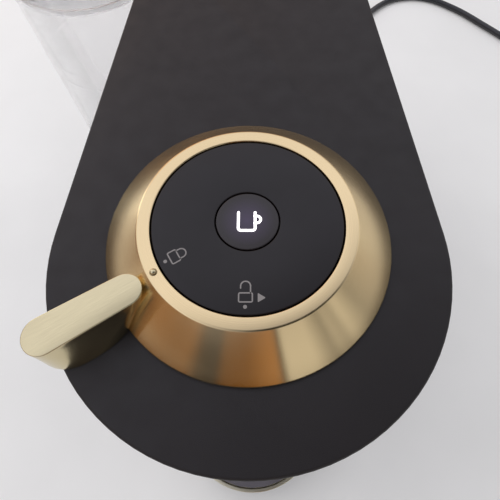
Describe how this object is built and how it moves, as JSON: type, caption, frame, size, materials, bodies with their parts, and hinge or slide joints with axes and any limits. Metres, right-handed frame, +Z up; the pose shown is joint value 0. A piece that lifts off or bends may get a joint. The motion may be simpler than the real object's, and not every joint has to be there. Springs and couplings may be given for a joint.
{
  "type": "capsule coffee machine",
  "caption": "Slim capsule coffee machine: lifting head with a conical lever lock ring and push button, swivelling clear water tank, used-capsule container and round cup stand.",
  "frame": {"origin": "on the table under the brewing axis, the centre of the middle foot's underside", "axes": "+X to the user's right, +Y to the machine's back, +Z up"},
  "size_m": [0.5809, 0.6067, 0.2683],
  "materials": {
    "plate_charcoal": "fine matte moulded black, soft-touch",
    "housing_black": "fine matte moulded black",
    "dial_black": "smooth satin black",
    "button_black": "semi-gloss black with a lit cup symbol",
    "satin_gold": "gold-toned metal, turned satin finish",
    "grid_grey": "dark purple-grey satin",
    "clear_plastic": "clear polished",
    "lid_plastic": "clear, lightly smoked",
    "cord_black": "glossy black flexible sheath",
    "plug_black": "moulded black",
    "rubber_black": "dull black rubber",
    "bright_steel": "brushed",
    "cast_alloy": "as cast",
    "inner_grey": "glass-filled grey",
    "inner_white": "natural white",
    "hose_clear": "milky silicone",
    "circuit_green": "solder-resist green"
  },
  "bodies": {
    "base": {"base_foot": "housing_black", "foot_front_left": "rubber_black", "foot_front_right": "rubber_black", "foot_rear_left": "rubber_black", "foot_rear_right": "rubber_black", "foot_middle": "rubber_black", "column_shell": "housing_black", "rear_cap": "housing_black", "hinge_pin": "bright_steel", "brew_housing": "housing_black", "belt_cover": "housing_black", "coffee_spout": "dial_black", "lower_bearing": "bright_steel", "drum_seal": "rubber_black", "drive_motor": "bright_steel", "drive_belt": "rubber_black", "inner_frame": "inner_grey", "water_pump": "inner_white", "pump_mount_lower": "rubber_black", "pump_mount_upper": "rubber_black", "heater_block": "cast_alloy", "flow_meter": "inner_white", "control_board": "circuit_green", "hub_fitting": "inner_white", "inlet_hose": "hose_clear", "pressure_hose": "hose_clear", "brew_hose": "hose_clear", "strain_relief": "rubber_black", "mains_cord": "cord_black", "mains_plug": "plug_black"},
    "head": {"top_plate": "plate_charcoal", "head_shell": "housing_black", "lever_bush": "inner_white", "head_chassis": "inner_grey", "upper_bearing": "bright_steel", "control_disc": "dial_black", "symbol_light_board": "circuit_green", "button_board": "circuit_green", "button_spring": "bright_steel"},
    "lever": {"lock_lever": "satin_gold", "pointer_stud": "satin_gold", "latch_ring": "bright_steel"},
    "button": {"coffee_button": "button_black"},
    "cage": {"piercing_plate": "bright_steel"},
    "drum": {"capsule_drum": "inner_grey", "drum_pulley": "inner_white"},
    "rotor": {"motor_pulley": "bright_steel"},
    "bin": {"capsule_container": "housing_black"},
    "tray": {"drip_tray": "housing_black"},
    "grid": {"cup_ring": "satin_gold", "drip_grid": "grid_grey"},
    "arm": {"swivel_arm": "housing_black", "valve_seat": "rubber_black"},
    "tank": {"water_tank": "clear_plastic"},
    "valve": {"tank_valve": "inner_white"},
    "lid": {"tank_lid": "lid_plastic"}
  },
  "joints": [
    {"name": "head_open", "type": "hinge", "parent": "base", "child": "head", "pos_m": [0, 0.168, 0.247], "axis": [-1, 0, 0], "range_deg": [0, 38]},
    {"name": "lever_turn", "type": "hinge", "parent": "head", "child": "lever", "pos_m": [0, 0, 0.252], "axis": [0, 0, 1], "range_deg": [0, 60]},
    {"name": "button_press", "type": "slide", "parent": "head", "child": "button", "axis": [0, 0, -1], "range_m": [0, 0.0012], "stiffness_N_per_m": 600, "deforming": ["button_spring"]},
    {"name": "cage_spin", "type": "hinge", "parent": "head", "child": "cage", "pos_m": [0, 0, 0.204], "axis": [0, 0, 1], "continuous": true},
    {"name": "drum_spin", "type": "hinge", "parent": "base", "child": "drum", "pos_m": [0, 0, 0.178], "axis": [0, 0, 1], "continuous": true},
    {"name": "motor_spin", "type": "hinge", "parent": "base", "child": "rotor", "pos_m": [0, 0.074, 0.1635], "axis": [0, 0, 1], "continuous": true},
    {"name": "bin_slide", "type": "slide", "parent": "base", "child": "bin", "axis": [0, -1, 0], "range_m": [0, 0.085]},
    {"name": "tray_slide", "type": "slide", "parent": "base", "child": "tray", "axis": [0, -1, 0], "range_m": [0, 0.06]},
    {"name": "grid_lift", "type": "slide", "parent": "tray", "child": "grid", "axis": [0, 0, 1], "range_m": [0, 0.02]},
    {"name": "tank_swivel", "type": "hinge", "parent": "base", "child": "arm", "pos_m": [0, 0.2, 0.0103], "axis": [0, 0, -1], "range_deg": [0, 180]},
    {"name": "tank_lift", "type": "slide", "parent": "arm", "child": "tank", "axis": [0, 0, 1], "range_m": [0, 0.04]},
    {"name": "valve_lift", "type": "slide", "parent": "tank", "child": "valve", "axis": [0, 0, 1], "range_m": [0, 0.0015], "stiffness_N_per_m": 60},
    {"name": "lid_lift", "type": "slide", "parent": "tank", "child": "lid", "axis": [0, 0, 1], "range_m": [0, 0.012]}
  ],
  "couplings": [
    {"joint": "cage_spin", "follows": "drum_spin", "ratio": 1},
    {"joint": "motor_spin", "follows": "drum_spin", "ratio": 2.125}
  ]
}
